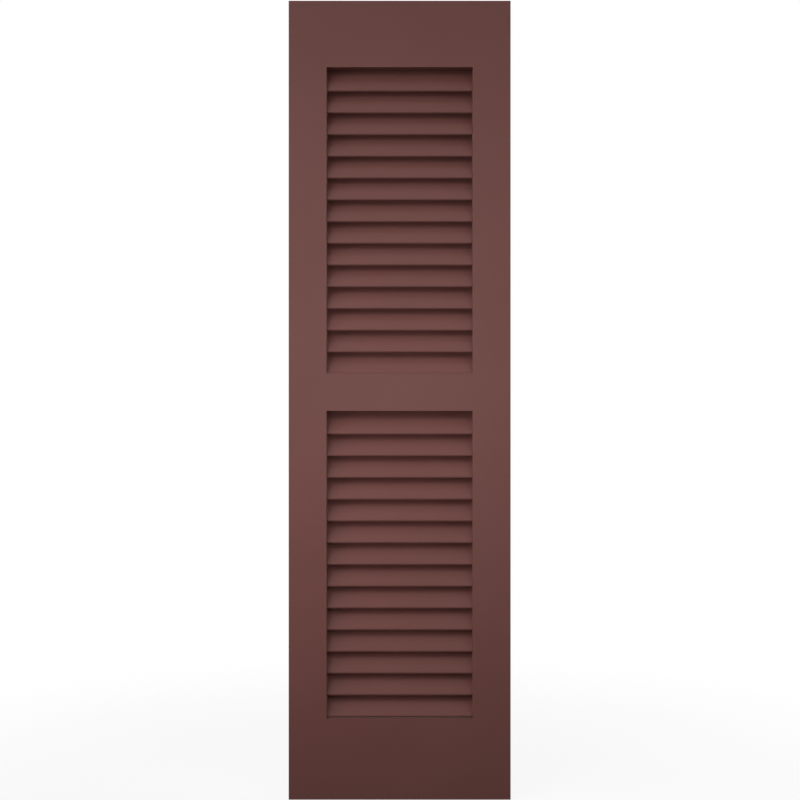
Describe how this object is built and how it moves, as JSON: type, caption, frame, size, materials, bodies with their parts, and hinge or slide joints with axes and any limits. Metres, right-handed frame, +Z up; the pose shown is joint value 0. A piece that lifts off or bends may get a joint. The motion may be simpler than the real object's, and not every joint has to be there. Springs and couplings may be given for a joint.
{
  "type": "louvered shutter",
  "caption": "Tall flush-framed exterior shutter leaf with a middle rail and two banks of fixed sloping louvers, mounted flat on a wall beside a window.",
  "frame": {"origin": "on the flat back face, at the middle of the leaf's width and height, where the back of the middle rail lies against the wall", "axes": "+Z up along the stiles, +Y out of the back face into the wall, so that the finished front looks along -Y, +X to the right as seen from the front"},
  "size_m": [0.381, 0.0381, 1.3716],
  "materials": {
    "painted_board": "satin paint on smooth cellular PVC board, brownish red"
  },
  "bodies": {
    "root": {"left_stile": "painted_board", "right_stile": "painted_board", "top_rail": "painted_board", "middle_rail": "painted_board", "bottom_rail": "painted_board", "upper_louver_01": "painted_board", "upper_louver_02": "painted_board", "upper_louver_03": "painted_board", "upper_louver_04": "painted_board", "upper_louver_05": "painted_board", "upper_louver_06": "painted_board", "upper_louver_07": "painted_board", "upper_louver_08": "painted_board", "upper_louver_09": "painted_board", "upper_louver_10": "painted_board", "upper_louver_11": "painted_board", "upper_louver_12": "painted_board", "upper_louver_13": "painted_board", "upper_louver_14": "painted_board", "lower_louver_01": "painted_board", "lower_louver_02": "painted_board", "lower_louver_03": "painted_board", "lower_louver_04": "painted_board", "lower_louver_05": "painted_board", "lower_louver_06": "painted_board", "lower_louver_07": "painted_board", "lower_louver_08": "painted_board", "lower_louver_09": "painted_board", "lower_louver_10": "painted_board", "lower_louver_11": "painted_board", "lower_louver_12": "painted_board", "lower_louver_13": "painted_board", "lower_louver_14": "painted_board"}
  },
  "joints": []
}
